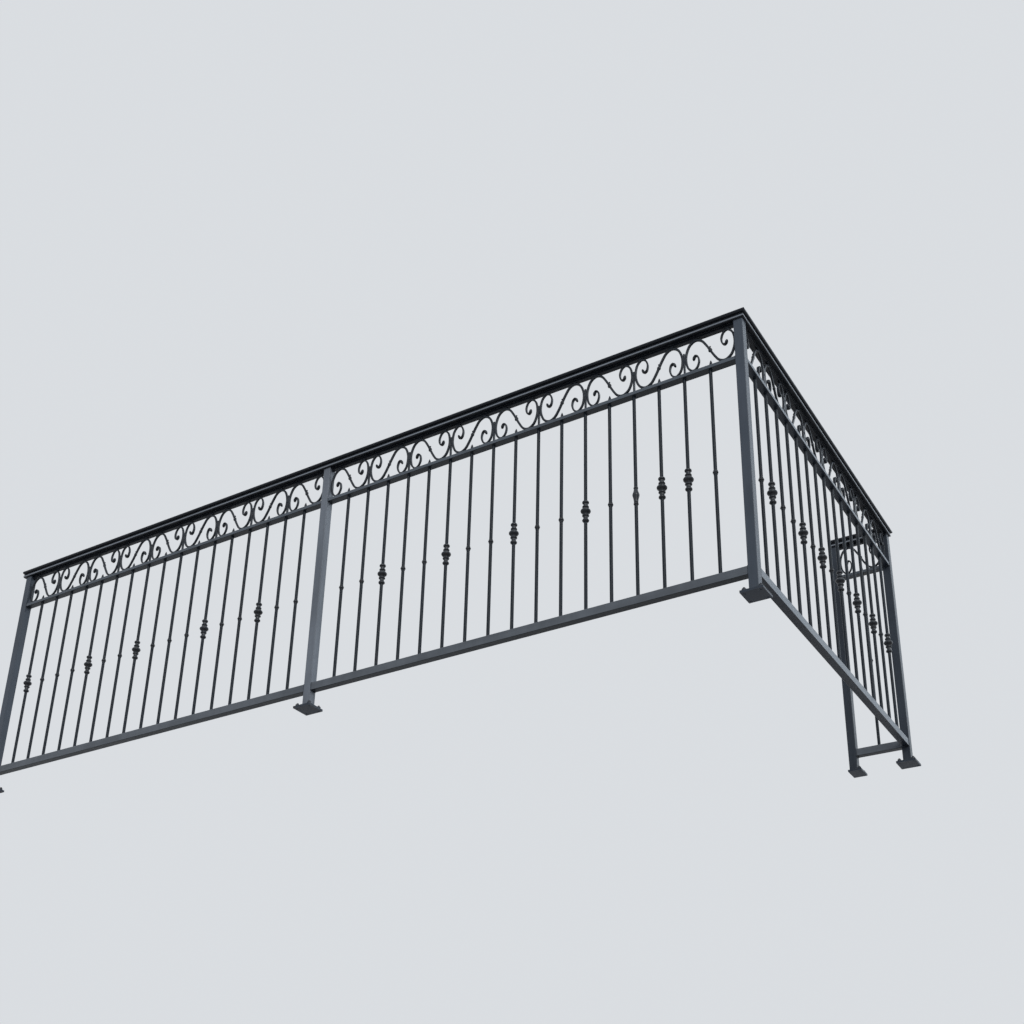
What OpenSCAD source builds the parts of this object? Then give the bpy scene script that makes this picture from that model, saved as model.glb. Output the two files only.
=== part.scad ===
/* [Plan] */
// Centre to centre of the posts in each front bay
front_bay = 1734; // [1000:2:2400]
// Centre to centre of the posts along the side run
side_bay = 1550; // [900:2:2400]
// Centre to centre of the posts on the short return to the wall
return_bay = 214; // [170:2:320]

/* [Heights] */
// Top of the handrail above the floor
rail_top = 1070; // [950:5:1250]
// Clear height of the scroll band between second rail and handrail
frieze_h = 133; // [110:1:160]
// Gap between the floor and the foot rail
foot_gap = 71; // [40:1:120]
// Middle of the knuckles above the floor
knuckle_z = 481; // [420:1:560]

/* [Posts] */
// Width of the square posts
post_w = 32; // [26:1:44]
// Rounding of the posts' corners
post_r = 2; // [1:0.5:3]
// Side of the square base plates
plate_w = 76; // [68:1:100]
// Thickness of the base plates
plate_t = 8; // [5:1:12]
// Bore of the anchor holes in the base plates
anchor_d = 9; // [7:0.5:11]
// Anchor hole centres from the edges of a base plate
anchor_inset = 11; // [9:0.5:12]

/* [Rails] */
// Depth of the foot rail and of the second rail
rail_d = 28; // [22:1:34]
// Height of the foot rail
foot_rail_h = 30; // [20:1:36]
// Height of the second rail
second_rail_h = 14; // [12:1:24]
// Rounding of the rails' corners
rail_r = 1.5; // [0.5:0.5:3]

/* [Handrail] */
// Width over the handrail's crown
cap_w = 60; // [52:1:76]
// Full height of the handrail
cap_h = 30; // [26:1:36]
// Width of the lip along the handrail's underside
lip_w = 46; // [44:1:50]
// Height of that lip
lip_h = 9; // [6:1:12]
// Bevel along the lip's lower edges
lip_bevel = 2.5; // [1:0.5:4]
// Thickness of the crown, whose edges are half round
crown_t = 13; // [10:1:16]
// Width of the neck between lip and crown
neck_w = 40; // [36:1:43]
// Height of the rib under the handrail that the scrolls are welded to
rib_h = 11; // [6:1:16]
// Width of that rib
rib_w = 12; // [8:1:18]

/* [Bars] */
// Diameter of the upright bars
bar_d = 12; // [9:0.5:14]
// Bars in each front bay
front_bars = 17; // [11:1:21]
// Bars in the side run
side_bars = 15; // [9:1:20]
// Bars in the return
return_bars = 1; // [1:1:2]

/* [Knuckles and collars] */
// Height of a knuckle
knuckle_h = 82; // [72:1:92]
// Diameter of a knuckle's belly
belly_d = 35; // [30:1:40]
// Diameter of a knuckle's end rings
ring_d = 24; // [20:1:27]
// Height of the slim knuckle
slim_h = 70; // [62:1:78]
// Diameter of the slim knuckle's belly
slim_d = 24; // [20:1:28]
// Diameter of a collar
collar_d = 19; // [16.5:0.5:22]
// Height of a collar's ring
collar_h = 9; // [6:0.5:12]
// Collars' middle below the knuckles' middle
collar_drop = 3; // [0:0.5:8]

/* [Scrolls] */
// Scrolls in each front bay
front_scrolls = 9; // [6:1:11]
// Scrolls in the side run
side_scrolls = 8; // [5:1:11]
// Scrolls in the return
return_scrolls = 1; // [1:1:1]
// Width of the scroll bar as seen from the front
scroll_t = 7.4; // [5:0.2:9]
// Width that the scroll bar tapers to at its eyes
scroll_tip = 6; // [4:0.2:7.4]
// Depth of the scroll bar
scroll_d = 7; // [4:1:12]
// Lift of the scrolls above the second rail, on a small pad each
scroll_lift = 5; // [3:0.5:8]
// Width of those pads
pad_w = 14; // [10:1:18]
// Diameter of the eye at each end of a scroll
eye_d = 12.5; // [9:0.5:14]
// Diameter of the boss on a scroll's crossing
boss_d = 15; // [10:0.5:18]
// Width of the ties between scrolls
tie_w = 6; // [5:0.5:9]
// Height of the ties above the second rail
tie_h = 90; // [80:1:110]
// Height of the spikes under the scrolls' crossings
spike_h = 26; // [16:1:30]
// Width of those spikes at the foot
spike_w = 11; // [8:0.5:14]

/* [Hidden] */

// Heights that follow from the driving sizes
cap_z = rail_top - cap_h;
second_top = cap_z - rib_h - frieze_h;
second_z = second_top - second_rail_h;
foot_top = foot_gap + foot_rail_h;
scroll_h = frieze_h - scroll_lift;

// Clear lengths between the posts' faces
front_clear = front_bay - post_w;
side_clear = side_bay - post_w;
return_clear = return_bay - post_w;

// Which bars carry a knuckle, counted from the corner, or from the middle post
bay1_knuckles = [2, 3, 6, 9, 12, 15];
bay1_slim = [4];
bay2_knuckles = [3, 6, 10, 13, 17];
side_knuckles = [2, 5, 7, 9, 11, 13, 15];

// How far a scroll is dressed flat where it is welded to its neighbours
weld_flat = 0.4;
// Points drawn between two key points of a scroll's centre line
curve_steps = 4;
round_fn = 48;
paint = [0.16, 0.18, 0.21];
paint_light = [0.22, 0.25, 0.29];

// Key points of a scroll's centre line from its crossing to the eye of one lobe,
// as shares of the lobe's width and of half the scroll's height
lobe_keys = [
    [0, 0], [0.16, -0.46], [0.34, -0.85], [0.58, -1], [0.82, -0.8], [0.96, -0.36], [1, 0.14],
    [0.93, 0.7], [0.74, 1], [0.56, 0.87], [0.47, 0.5], [0.51, 0.15], [0.61, 0.05], [0.67, 0.17]
];
// The key point at the top of the lobe, from which the bar tapers to its eye
taper_key = 8;
// Share of the lobe's width at which it comes nearest to the second rail
lobe_foot = 0.58;

// One smooth stretch between b and c, led in by a and led out by d
function smooth(a, b, c, d, t) =
    0.5 * (2 * b + (c - a) * t + (2 * a - 5 * b + 4 * c - d) * t * t
    + (3 * b - a - 3 * c + d) * t * t * t);

function curve(keys, steps) = [
    for (i = [0 : len(keys) - 2])
        for (k = [0 : steps - 1])
            smooth(
                keys[max(i - 1, 0)], keys[i], keys[i + 1],
                keys[min(i + 2, len(keys) - 1)], k / steps),
    keys[len(keys) - 1]
];

// The direction square to a line of points at point i
function square_to(line, i) =
    let (a = line[max(i - 1, 0)], b = line[min(i + 1, len(line) - 1)], d = b - a)
    [-d[1], d[0]] / norm(d);

// A strip along a line of points, with its width at each of them
module strip(line, widths) {
    last = len(line) - 1;
    polygon(concat(
        [for (i = [0 : last]) line[i] + square_to(line, i) * widths[i] / 2],
        [for (i = [last : -1 : 0]) line[i] - square_to(line, i) * widths[i] / 2]
    ));
}

// Local frames: x runs along the bay from the first post's face, z is up
module in_bay1() {
    translate([-post_w / 2, 0, 0]) rotate([0, 0, 180]) children();
}
module in_bay2() {
    translate([-front_bay - post_w / 2, 0, 0]) rotate([0, 0, 180]) children();
}
module in_side() {
    translate([0, post_w / 2, 0]) rotate([0, 0, 90]) children();
}
module in_return() {
    translate([-post_w / 2, side_bay, 0]) rotate([0, 0, 180]) children();
}

module rounded_square(w, h, r) {
    translate([r, 0]) square([w - 2 * r, h]);
    translate([0, r]) square([w, h - 2 * r]);
    for (x = [r, w - r])
        for (y = [r, h - r])
            translate([x, y]) circle(r, $fn = round_fn);
}

module post(x, y) {
    color(paint_light)
        translate([x - post_w / 2, y - post_w / 2, plate_t])
            linear_extrude(cap_z - plate_t)
                rounded_square(post_w, post_w, post_r);
}

// A base plate that may be trimmed flush with the post on its left
module base_plate(x, y, trimmed = false) {
    half = plate_w / 2;
    from = trimmed ? -post_w / 2 : -half;
    hole = half - anchor_inset;
    color(paint)
        translate([x, y, 0])
            difference() {
                translate([from, -half, 0]) cube([half - from, plate_w, plate_t]);
                for (sx = trimmed ? [1] : [-1, 1])
                    for (sy = [-1, 1])
                        translate([sx * hole, sy * hole, -1])
                            cylinder(h = plate_t + 2, d = anchor_d, $fn = round_fn);
            }
}

module rail(length, z, h) {
    color(paint_light)
        translate([0, -rail_d / 2, z])
            rotate([90, 0, 90])
                linear_extrude(length)
                    rounded_square(rail_d, h, rail_r);
}

// The handrail's section: lip below, neck, and a crown with half round edges
module cap_section() {
    nose = crown_t / 2;
    lip_half = lip_w / 2;
    polygon([
        [lip_bevel - lip_half, 0], [lip_half - lip_bevel, 0], [lip_half, lip_bevel],
        [lip_half, lip_h], [-lip_half, lip_h], [-lip_half, lip_bevel]
    ]);
    translate([-neck_w / 2, 0]) square([neck_w, cap_h - nose]);
    translate([nose - cap_w / 2, cap_h - crown_t]) square([cap_w - crown_t, crown_t]);
    for (side = [-1, 1])
        translate([side * (cap_w / 2 - nose), cap_h - nose]) circle(nose, $fn = round_fn);
}

// A length of handrail along x, cut to an outline in plan that mitres its ends
module handrail(from, to, outline) {
    color(paint)
        intersection() {
            translate([from, 0, cap_z])
                rotate([90, 0, 90])
                    linear_extrude(to - from) cap_section();
            translate([0, 0, cap_z - 1])
                linear_extrude(cap_h + 2) polygon(outline);
        }
}

// The rib below the handrail, from post to post; it reaches up into the handrail
module rib(length) {
    color(paint)
        translate([0, -rib_w / 2, cap_z - rib_h]) cube([length, rib_w, rib_h + lip_h / 2]);
}

module cap_front() {
    w = cap_w;
    start = -2 * front_bay - cap_w / 2;
    union() {
        handrail(start, w, [[start, -w], [w, -w], [-w, w], [start, w]]);
        in_bay1() rib(front_clear);
        in_bay2() rib(front_clear);
    }
}

module cap_side() {
    w = cap_w;
    union() {
        rotate([0, 0, 90])
            handrail(-w, side_bay + w, [[-w, -w], [side_bay + w, -w], [side_bay - w, w], [w, w]]);
        in_side() rib(side_clear);
    }
}

module cap_return() {
    w = cap_w;
    end = -return_bay - post_w / 2;
    union() {
        translate([0, side_bay, 0])
            handrail(end, w, [[end, -w], [-w, -w], [w, w], [end, w]]);
        in_return() rib(return_clear);
    }
}

module bars(length, count) {
    pitch = length / (count + 1);
    color(paint)
        for (i = [1 : count])
            translate([i * pitch, 0, foot_top])
                cylinder(h = second_z - foot_top, d = bar_d, $fn = round_fn);
}

// A ring with a half round rim, as half a section from the bar outwards
module ring_section(r, z, h) {
    translate([0, z]) square([r - h / 2, h]);
    translate([r - h / 2, z + h / 2]) circle(h / 2, $fn = round_fn);
}

// A piece turned round the bar and bored to slip onto it, given half its section
module turned(height) {
    rotate_extrude($fn = round_fn)
        difference() {
            union() children();
            translate([-bar_d, -1]) square([1.5 * bar_d, height + 2]);
        }
}

// Rings at both ends and beside the belly, the same upwards and downwards
module knuckle() {
    ring_r = ring_d / 2;
    inner_r = ring_r * 0.96;
    neck_r = (2 * bar_d + ring_d) / 6;
    end_h = knuckle_h * 0.134;
    inner_z = knuckle_h * 0.244;
    inner_h = knuckle_h * 0.098;
    belly_h = knuckle_h * 0.23;
    turned(knuckle_h) {
        polygon([
            [0, end_h / 2], [neck_r, end_h / 2], [neck_r, inner_z + inner_h / 2],
            [inner_r * 0.9, inner_z + inner_h / 2],
            [inner_r * 0.9, knuckle_h - inner_z - inner_h / 2],
            [neck_r, knuckle_h - inner_z - inner_h / 2],
            [neck_r, knuckle_h - end_h / 2], [0, knuckle_h - end_h / 2]
        ]);
        ring_section(ring_r, 0, end_h);
        ring_section(inner_r, inner_z, inner_h);
        ring_section(belly_d / 2, (knuckle_h - belly_h) / 2, belly_h);
        ring_section(inner_r, knuckle_h - inner_z - inner_h, inner_h);
        ring_section(ring_r, knuckle_h - end_h, end_h);
    }
}

module slim_knuckle_body() {
    bar_r = bar_d / 2;
    swell = slim_d / 2 - bar_r;
    end_h = slim_h * 0.11;
    turned(slim_h) {
        ring_section(bar_r + swell * 0.45, 0, end_h);
        polygon([
            [0, end_h / 2], [bar_r + swell * 0.25, end_h / 2], [bar_r + swell * 0.3, slim_h * 0.27],
            [bar_r + swell * 0.7, slim_h * 0.42], [bar_r + swell, slim_h * 0.55],
            [bar_r + swell * 0.8, slim_h * 0.65], [bar_r + swell * 0.3, slim_h * 0.79],
            [bar_r + swell * 0.15, slim_h - end_h / 2], [0, slim_h - end_h / 2]
        ]);
        ring_section(bar_r + swell * 0.35, slim_h - end_h, end_h);
    }
}

// A ring on a short sleeve
module collar() {
    bar_r = bar_d / 2;
    sleeve_r = bar_r + (collar_d / 2 - bar_r) * 0.35;
    turned(collar_h * 1.7) {
        square([sleeve_r, collar_h * 1.7]);
        ring_section(collar_d / 2, collar_h * 0.35, collar_h);
    }
}

module knuckles(length, count, which) {
    pitch = length / (count + 1);
    color(paint)
        for (i = which)
            if (i <= count)
                translate([i * pitch, 0, knuckle_z - knuckle_h / 2]) knuckle();
}

module slim_knuckles(length, count, which) {
    pitch = length / (count + 1);
    color(paint)
        for (i = which)
            translate([i * pitch, 0, knuckle_z - slim_h / 2]) slim_knuckle_body();
}

// Collars on every bar that has no knuckle
module collars(length, count, taken) {
    pitch = length / (count + 1);
    color(paint)
        for (i = [1 : count])
            if (len([for (k = taken) if (k == i) k]) == 0)
                translate([i * pitch, 0, knuckle_z - collar_drop - collar_h * 0.85]) collar();
}

// Width of one scroll when a bay holds this many with ties between them
function scroll_width(length, count) = (length - (count - 1) * tie_w) / count;

// Width of the scroll bar, counted in key points from the crossing
function bar_width(key) =
    let (hook = max(0, key - taper_key) / (len(lobe_keys) - 1 - taper_key))
    scroll_t + (scroll_tip - scroll_t) * hook;

// Half a scroll: from the crossing round its lobe to the eye
module scroll_lobe(width) {
    lobe_w = width / 2 - scroll_t / 2 + weld_flat;
    half_h = scroll_h / 2 - scroll_t / 2 + weld_flat;
    keys = [for (k = lobe_keys) [k[0] * lobe_w, k[1] * half_h]];
    line = concat([-keys[1] * 0.2], curve(keys, curve_steps));
    strip(line, [for (i = [0 : len(line) - 1]) bar_width((i - 1) / curve_steps)]);
    translate(line[len(line) - 1]) circle(d = eye_d, $fn = round_fn);
}

module scroll(width) {
    translate([0, scroll_d / 2, second_top + scroll_lift + scroll_h / 2])
        rotate([90, 0, 0])
            linear_extrude(scroll_d) {
                intersection() {
                    square([width, scroll_h], center = true);
                    union() {
                        scroll_lobe(width);
                        rotate(180) scroll_lobe(width);
                        circle(d = boss_d, $fn = round_fn);
                    }
                }
                translate([(width * lobe_foot - pad_w) / 2, -scroll_h / 2 - scroll_lift])
                    square([pad_w, scroll_lift + scroll_t / 2]);
            }
}

module scrolls(length, count) {
    width = scroll_width(length, count);
    color(paint)
        for (i = [0 : count - 1])
            translate([width / 2 + i * (width + tie_w), 0, 0])
                if (i % 2 == 0)
                    mirror([1, 0, 0]) scroll(width);
                else
                    scroll(width);
}

module ties(length, count) {
    width = scroll_width(length, count);
    color(paint)
        for (i = [1 : count - 1])
            translate([i * (width + tie_w) - tie_w, -scroll_d / 2, second_top])
                cube([tie_w, scroll_d, tie_h]);
}

// A short straight foot and a cone that ends in a blunt tip
module spike() {
    foot_h = spike_h * 0.3;
    cylinder(h = foot_h, d = spike_w, $fn = round_fn);
    translate([0, 0, foot_h])
        cylinder(h = spike_h - foot_h, d1 = spike_w, d2 = spike_w * 0.2, $fn = round_fn);
}

module spikes(length, count) {
    width = scroll_width(length, count);
    color(paint)
        for (i = [0 : count - 1])
            translate([width / 2 + i * (width + tie_w), 0, second_top]) spike();
}

module second_rail_bay1() {
    in_bay1() rail(front_clear, second_z, second_rail_h);
}
module second_rail_bay2() {
    in_bay2() rail(front_clear, second_z, second_rail_h);
}
module second_rail_side() {
    in_side() rail(side_clear, second_z, second_rail_h);
}
module second_rail_return() {
    in_return() rail(return_clear, second_z, second_rail_h);
}
module foot_rail_bay1() {
    in_bay1() rail(front_clear, foot_gap, foot_rail_h);
}
module foot_rail_bay2() {
    in_bay2() rail(front_clear, foot_gap, foot_rail_h);
}
module foot_rail_side() {
    in_side() rail(side_clear, foot_gap, foot_rail_h);
}
module foot_rail_return() {
    in_return() rail(return_clear, foot_gap, foot_rail_h);
}

module post_corner() {
    post(0, 0);
}
module post_middle() {
    post(-front_bay, 0);
}
module post_end() {
    post(-2 * front_bay, 0);
}
module post_far() {
    post(0, side_bay);
}
module post_wall() {
    post(-return_bay, side_bay);
}

module base_plate_corner() {
    base_plate(0, 0);
}
module base_plate_middle() {
    base_plate(-front_bay, 0);
}
module base_plate_end() {
    base_plate(-2 * front_bay, 0);
}
module base_plate_far() {
    base_plate(0, side_bay);
}
module base_plate_wall() {
    base_plate(-return_bay, side_bay, true);
}

module bars_bay1() {
    in_bay1() bars(front_clear, front_bars);
}
module bars_bay2() {
    in_bay2() bars(front_clear, front_bars);
}
module bars_side() {
    in_side() bars(side_clear, side_bars);
}
module bars_return() {
    in_return() bars(return_clear, return_bars);
}

module knuckles_bay1() {
    in_bay1() knuckles(front_clear, front_bars, bay1_knuckles);
}
module knuckles_bay2() {
    in_bay2() knuckles(front_clear, front_bars, bay2_knuckles);
}
module knuckles_side() {
    in_side() knuckles(side_clear, side_bars, side_knuckles);
}
module slim_knuckle() {
    in_bay1() slim_knuckles(front_clear, front_bars, bay1_slim);
}

module collars_bay1() {
    in_bay1() collars(front_clear, front_bars, concat(bay1_knuckles, bay1_slim));
}
module collars_bay2() {
    in_bay2() collars(front_clear, front_bars, bay2_knuckles);
}
module collars_side() {
    in_side() collars(side_clear, side_bars, side_knuckles);
}
module collars_return() {
    in_return() collars(return_clear, return_bars, []);
}

module scrolls_bay1() {
    in_bay1() scrolls(front_clear, front_scrolls);
}
module scrolls_bay2() {
    in_bay2() scrolls(front_clear, front_scrolls);
}
module scrolls_side() {
    in_side() scrolls(side_clear, side_scrolls);
}
module scrolls_return() {
    in_return() scrolls(return_clear, return_scrolls);
}

module ties_bay1() {
    in_bay1() ties(front_clear, front_scrolls);
}
module ties_bay2() {
    in_bay2() ties(front_clear, front_scrolls);
}
module ties_side() {
    in_side() ties(side_clear, side_scrolls);
}

module spikes_bay1() {
    in_bay1() spikes(front_clear, front_scrolls);
}
module spikes_bay2() {
    in_bay2() spikes(front_clear, front_scrolls);
}
module spikes_side() {
    in_side() spikes(side_clear, side_scrolls);
}
module spikes_return() {
    in_return() spikes(return_clear, return_scrolls);
}

cap_front();
cap_side();
cap_return();
second_rail_bay1();
second_rail_bay2();
second_rail_side();
second_rail_return();
foot_rail_bay1();
foot_rail_bay2();
foot_rail_side();
foot_rail_return();
post_corner();
post_middle();
post_end();
post_far();
post_wall();
base_plate_corner();
base_plate_middle();
base_plate_end();
base_plate_far();
base_plate_wall();
bars_bay1();
bars_bay2();
bars_side();
bars_return();
knuckles_bay1();
knuckles_bay2();
knuckles_side();
slim_knuckle();
collars_bay1();
collars_bay2();
collars_side();
collars_return();
scrolls_bay1();
scrolls_bay2();
scrolls_side();
scrolls_return();
ties_bay1();
ties_bay2();
ties_side();
spikes_bay1();
spikes_bay2();
spikes_side();
spikes_return();
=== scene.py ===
import math

import bmesh
import bpy
from mathutils import Matrix, Vector


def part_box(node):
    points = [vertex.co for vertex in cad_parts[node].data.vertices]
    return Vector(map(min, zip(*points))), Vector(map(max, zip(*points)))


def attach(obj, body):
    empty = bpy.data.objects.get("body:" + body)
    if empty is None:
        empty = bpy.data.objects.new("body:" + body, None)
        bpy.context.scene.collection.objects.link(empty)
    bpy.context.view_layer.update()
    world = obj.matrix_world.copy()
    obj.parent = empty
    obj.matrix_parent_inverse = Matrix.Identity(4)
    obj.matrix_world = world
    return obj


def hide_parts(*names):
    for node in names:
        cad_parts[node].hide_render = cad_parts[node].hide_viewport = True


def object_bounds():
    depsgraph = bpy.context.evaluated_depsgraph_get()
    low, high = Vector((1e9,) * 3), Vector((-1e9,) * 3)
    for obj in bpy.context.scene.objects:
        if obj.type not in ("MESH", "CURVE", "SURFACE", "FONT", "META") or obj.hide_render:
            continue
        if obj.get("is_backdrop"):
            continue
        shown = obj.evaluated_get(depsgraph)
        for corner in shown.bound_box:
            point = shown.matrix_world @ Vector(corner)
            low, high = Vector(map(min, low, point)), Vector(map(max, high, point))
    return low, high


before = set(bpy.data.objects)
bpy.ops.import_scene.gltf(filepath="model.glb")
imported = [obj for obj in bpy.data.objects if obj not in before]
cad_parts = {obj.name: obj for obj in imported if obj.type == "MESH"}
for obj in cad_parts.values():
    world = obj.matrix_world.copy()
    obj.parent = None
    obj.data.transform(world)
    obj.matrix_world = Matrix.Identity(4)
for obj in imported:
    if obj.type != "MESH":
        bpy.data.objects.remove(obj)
cadLow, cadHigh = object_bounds()
print("frame loaded:", len(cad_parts), "nodes")

mm = 0.001  # the sizes below are in millimetres, as in the solids


# The camera stands low outside the corner and looks up; angles in degrees
lowCamera = {
    "place": (1.2682, -3.3874, -1.9935),
    "yaw": 32.12,
    "pitch": 24.401,
    "roll": 1.311,
    "lens": 47.313,
    "sensor": 36,
    "shiftY": 0.19,
}


def placeCamera(setup):
    yaw, pitch, roll = (math.radians(setup[angle]) for angle in ("yaw", "pitch", "roll"))
    ahead = Vector((-math.sin(yaw) * math.cos(pitch), math.cos(yaw) * math.cos(pitch), math.sin(pitch)))
    right = Vector((math.cos(yaw), math.sin(yaw), 0))
    up = right.cross(ahead)
    tiltedRight = math.cos(roll) * right + math.sin(roll) * up
    tiltedUp = math.cos(roll) * up - math.sin(roll) * right
    lens = bpy.data.cameras.new("lowCamera")
    lens.lens = setup["lens"]
    lens.sensor_width = setup["sensor"]
    lens.shift_y = setup["shiftY"]
    camera = bpy.data.objects.new("lowCamera", lens)
    turn = Matrix((tiltedRight, tiltedUp, -ahead)).transposed().to_4x4()
    camera.matrix_world = Matrix.Translation(setup["place"]) @ turn
    bpy.context.collection.objects.link(camera)
    bpy.context.scene.camera = camera


placeCamera(lowCamera)
print("camera placed")


class Wire:  # one output of a node; the operators on it add Math nodes
    def __init__(self, board, socket):
        self.board = board
        self.socket = socket

    def math(self, operation, first, second=0.0):
        return self.board.node("ShaderNodeMath", {"operation": operation}, {0: first, 1: second})

    def __add__(self, other):
        return self.math("ADD", self, other)

    __radd__ = __add__

    def __mul__(self, other):
        return self.math("MULTIPLY", self, other)

    __rmul__ = __mul__

    def __sub__(self, other):
        return self.math("SUBTRACT", self, other)

    def __rsub__(self, other):
        return self.math("SUBTRACT", other, self)

    def __mod__(self, other):
        return self.math("MODULO", self, other)

    def limited(self):  # kept between 0 and 1
        return self.board.node("ShaderNodeClamp", {}, {"Value": self})

    def rise(self, low, high):  # 0 below low, 1 above high, smooth between
        span = {"Value": self, "From Min": low, "From Max": high}
        return self.board.node("ShaderNodeMapRange", {"interpolation_type": "SMOOTHSTEP"}, span)


class Board:  # a node tree that hands out its nodes' outputs as wires
    def __init__(self, tree):
        self.tree = tree
        tree.nodes.clear()

    def node(self, kind, settings=None, values=None, out=0):
        made = self.tree.nodes.new(kind)
        for key, value in (settings or {}).items():
            setattr(made, key, value)
        for key, value in (values or {}).items():
            if isinstance(value, Wire):
                self.tree.links.new(value.socket, made.inputs[key])
            else:
                made.inputs[key].default_value = value
        return Wire(self, made.outputs[out]) if made.outputs else made

    def blend(self, share, first, second):  # a colour between two colours
        values = {0: share, 6: first, 7: second}
        return self.node("ShaderNodeMix", {"data_type": "RGBA"}, values, out=2)


def shade(*colour):
    return (*colour, 1)


# One satin blue-black paint on different iron, in tones set part by part: lighter where a part stands lit and
# darker where it stands in shade, which is painted light and shade. Colours are linear, depths and widths in
# metres, noise scales per metre, and brush is the strokes' scale along X, Y and Z
# Of the first two tones, the first is unfaded paint on undersides, darkened further as painted shade; the
# second is faded paint on all other faces, lightened also by painted light
paintBase = {
    "freshAndShaded": shade(0.010, 0.014, 0.021),
    "fadedAndLit": shade(0.064, 0.081, 0.105),
    "dust": shade(0.21, 0.20, 0.185),
    "wornAndHighlight": shade(0.15, 0.165, 0.18),
    "rust": shade(0.075, 0.034, 0.017),
    "fadeAndLight": 0.85,
    "dusty": 0.28,
    "wearAndHighlight": 0.50,
    "rusty": 0.22,
    "rough": 0.33,
    "shine": 0.30,
    "edge": 0.0016,
    "brush": (60, 60, 5),
    "brushDeep": 0.00012,
    "grain": 900,
    "grainDeep": 0.00005,
    "dent": 70,
    "dentDeep": 0.00020,
    "pitDeep": 0.00012,
}
handrailLook = {  # lipFrom and lipTo are the heights of the lip's painted highlight, and the last key how far below the lip its painted shade reaches
    "freshAndShaded": shade(0.006, 0.008, 0.012), "fadedAndLit": shade(0.014, 0.018, 0.025), "rough": 0.36, "shine": 0.22,
    "wearAndHighlight": 0.60, "dusty": 0.36, "lip": shade(0.235, 0.258, 0.288), "lipFrom": 1.0418, "lipTo": 1.0484,
    "lipSoft": 0.0008, "underLipShade": 0.006,
}
paintLooks = {
    "postPaint": {"fadedAndLit": shade(0.077, 0.093, 0.117), "rough": 0.40, "shine": 0.24},
    # The middle post takes a paler tone than the other posts
    "paledPostPaint": {"fadedAndLit": shade(0.175, 0.195, 0.225), "fadeAndLight": 0.95, "rough": 0.40},
    # The far and wall posts take a darker tone: painted shade, as they stand in deep shade by the wall
    "shelteredPostPaint": {"fadedAndLit": shade(0.044, 0.054, 0.069), "rough": 0.40, "shine": 0.24},
    "railPaint": {
        "freshAndShaded": shade(0.014, 0.018, 0.024), "fadedAndLit": shade(0.108, 0.127, 0.149), "brush": (5, 60, 60),
    },
    # The foot rail's lighter tone is painted bounce light from below; its extra dust is real
    "footRailPaint": {
        "freshAndShaded": shade(0.014, 0.018, 0.024), "fadedAndLit": shade(0.136, 0.151, 0.170), "brush": (5, 60, 60),
        "dusty": 0.40,
    },
    # The side rails' undersides take a lighter tone than the front rails': painted light from below
    "sideRailPaint": {
        "freshAndShaded": shade(0.024, 0.031, 0.043), "fadedAndLit": shade(0.098, 0.122, 0.152), "brush": (60, 5, 60),
    },
    "handrailPaint": {**handrailLook, "brush": (4, 55, 55)},
    "sideHandrailPaint": {**handrailLook, "brush": (55, 4, 55)},
    # Bars, castings and scrolls take darker tones than the posts: painted shade for the shade they stand in
    # under the handrail
    "barPaint": {
        "freshAndShaded": shade(0.005, 0.008, 0.012), "fadedAndLit": shade(0.016, 0.023, 0.032), "edge": 0.0008,
        "dent": 45, "rough": 0.32, "shine": 0.16,
    },
    # The castings' full edge lightening is painted highlight on their rings and edges, over their real wear
    "castingPaint": {
        "freshAndShaded": shade(0.005, 0.006, 0.009), "fadedAndLit": shade(0.044, 0.051, 0.060), "rough": 0.28,
        "shine": 0.32, "wearAndHighlight": 1.0, "grain": 520, "grainDeep": 0.00016, "edge": 0.0011,
        "brush": (30, 30, 30), "rusty": 0.40,
    },
    "scrollPaint": {
        "freshAndShaded": shade(0.006, 0.008, 0.011), "fadedAndLit": shade(0.031, 0.037, 0.046), "rough": 0.30,
        "shine": 0.23, "wearAndHighlight": 0.65, "edge": 0.0010, "dent": 130, "dentDeep": 0.00045,
        "brush": (25, 25, 25),
    },
    "weldPaint": {
        "fadedAndLit": shade(0.034, 0.045, 0.062), "rough": 0.40, "edge": 0.0007, "dent": 320,
        "dentDeep": 0.00035, "rusty": 0.55,
    },
    "platePaint": {
        "fadedAndLit": shade(0.036, 0.048, 0.066), "dusty": 0.60, "rusty": 0.65, "rough": 0.46,
        "brush": (22, 22, 22),
    },
    "anchorPaint": {
        "fadedAndLit": shade(0.044, 0.052, 0.064), "wornAndHighlight": shade(0.24, 0.24, 0.235), "wearAndHighlight": 0.90,
        "rusty": 0.60, "dusty": 0.42, "edge": 0.0007, "grain": 1400,
    },
}
# Noises that every paint shares
paintNoises = {
    "cloud": {"scale": 4.5, "detail": 3},
    "drip": {"scale": 1, "detail": 3, "stretch": (34, 34, 2.2), "shift": 3.7},
    "speck": {"scale": 260, "detail": 2, "shift": 1.3},
}
# Where each mask of the paint starts and where it is full
maskSpans = {
    "edge": (0.004, 0.11),
    "wearAndEdgeHighlight": (0.30, 0.85),
    "lying": (0.35, 0.95),
    "fadedLitSide": (-0.75, -0.05),
    "pitted": (0.74, 0.86),
    "patchy": (0.35, 1.0),
    "upright": (0.55, 0.95),
}


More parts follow.
